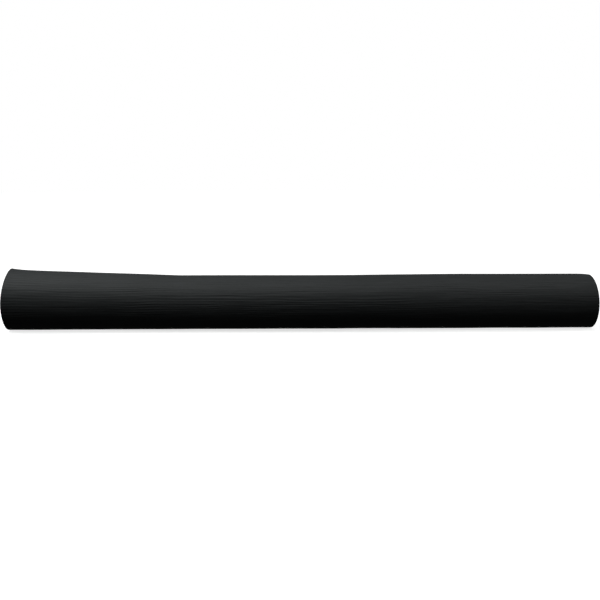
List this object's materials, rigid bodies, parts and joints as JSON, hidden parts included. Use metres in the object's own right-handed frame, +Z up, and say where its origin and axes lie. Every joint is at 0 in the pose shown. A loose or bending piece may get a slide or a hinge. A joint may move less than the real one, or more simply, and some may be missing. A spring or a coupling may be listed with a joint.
{
  "type": "grip tape roll",
  "caption": "Log roll of ribbed racket grip tape: a wide dark laminated sheet wound on a card core, loose at one end, with a tail that unrolls from under closing tabs.",
  "frame": {"origin": "on the flat that the roll rests on, under the middle of the core's axis", "axes": "+X along the core, away from the loose end; +Z up; +Y towards the side where the tail comes down"},
  "size_m": [0.5, 0.0539, 0.0531],
  "materials": {
    "ribbed_skin": "matt, finely ribbed",
    "foam_backing": "matt foam",
    "liner_paper": "smooth release paper",
    "core_card": "spiral-wound board",
    "strip_film": "tissue tape",
    "closing_tape": "satin"
  },
  "bodies": {
    "roll": {"core_tube": "core_card", "start_strip": "strip_film", "tight_turns_liner": "liner_paper", "tight_turns_backing": "foam_backing", "tight_turns_skin": "ribbed_skin", "loose_turns_liner": "liner_paper", "loose_turns_backing": "foam_backing", "loose_turns_skin": "ribbed_skin"},
    "tail_1": {"tail_liner_1": "liner_paper", "tail_backing_1": "foam_backing", "tail_skin_1": "ribbed_skin"},
    "tail_2": {"tail_liner_2": "liner_paper", "tail_backing_2": "foam_backing", "tail_skin_2": "ribbed_skin"},
    "tail_3": {"tail_liner_3": "liner_paper", "tail_backing_3": "foam_backing", "tail_skin_3": "ribbed_skin"},
    "tail_4": {"tail_liner_4": "liner_paper", "tail_backing_4": "foam_backing", "tail_skin_4": "ribbed_skin"},
    "tail_5": {"tail_liner_5": "liner_paper", "tail_backing_5": "foam_backing", "tail_skin_5": "ribbed_skin"},
    "tail_6": {"tail_liner_6": "liner_paper", "tail_backing_6": "foam_backing", "tail_skin_6": "ribbed_skin", "tab_left_base": "closing_tape", "tab_right_base": "closing_tape"},
    "tab_left": {"tab_left_free": "closing_tape"},
    "tab_right": {"tab_right_free": "closing_tape"}
  },
  "joints": [
    {"name": "tail_bend_1", "type": "hinge", "parent": "roll", "child": "tail_1", "pos_m": [0, -0.00728, 0.04497], "axis": [1, 0, 0], "range_deg": [0, 24]},
    {"name": "tail_bend_2", "type": "hinge", "parent": "tail_1", "child": "tail_2", "pos_m": [0, 0.00247, 0.04606], "axis": [1, 0, 0], "range_deg": [0, 24]},
    {"name": "tail_bend_3", "type": "hinge", "parent": "tail_2", "child": "tail_3", "pos_m": [0, 0.01184, 0.04308], "axis": [1, 0, 0], "range_deg": [0, 24]},
    {"name": "tail_bend_4", "type": "hinge", "parent": "tail_3", "child": "tail_4", "pos_m": [0, 0.01921, 0.03653], "axis": [1, 0, 0], "range_deg": [0, 24]},
    {"name": "tail_bend_5", "type": "hinge", "parent": "tail_4", "child": "tail_5", "pos_m": [0, 0.0233, 0.02753], "axis": [1, 0, 0], "range_deg": [0, 24]},
    {"name": "tail_bend_6", "type": "hinge", "parent": "tail_5", "child": "tail_6", "pos_m": [0, 0.02336, 0.01761], "axis": [1, 0, 0], "range_deg": [0, 24]},
    {"name": "tab_left_peel", "type": "hinge", "parent": "tail_6", "child": "tab_left", "pos_m": [-0.06, 0.0195, 0.00841], "axis": [1, 0, 0], "range_deg": [0, 100]},
    {"name": "tab_right_peel", "type": "hinge", "parent": "tail_6", "child": "tab_right", "pos_m": [0.17, 0.0195, 0.00841], "axis": [1, 0, 0], "range_deg": [0, 100]}
  ],
  "couplings": [
    {"joint": "tail_bend_2", "follows": "tail_bend_1", "ratio": 1},
    {"joint": "tail_bend_3", "follows": "tail_bend_1", "ratio": 1},
    {"joint": "tail_bend_4", "follows": "tail_bend_1", "ratio": 1},
    {"joint": "tail_bend_5", "follows": "tail_bend_1", "ratio": 1},
    {"joint": "tail_bend_6", "follows": "tail_bend_1", "ratio": 1}
  ]
}
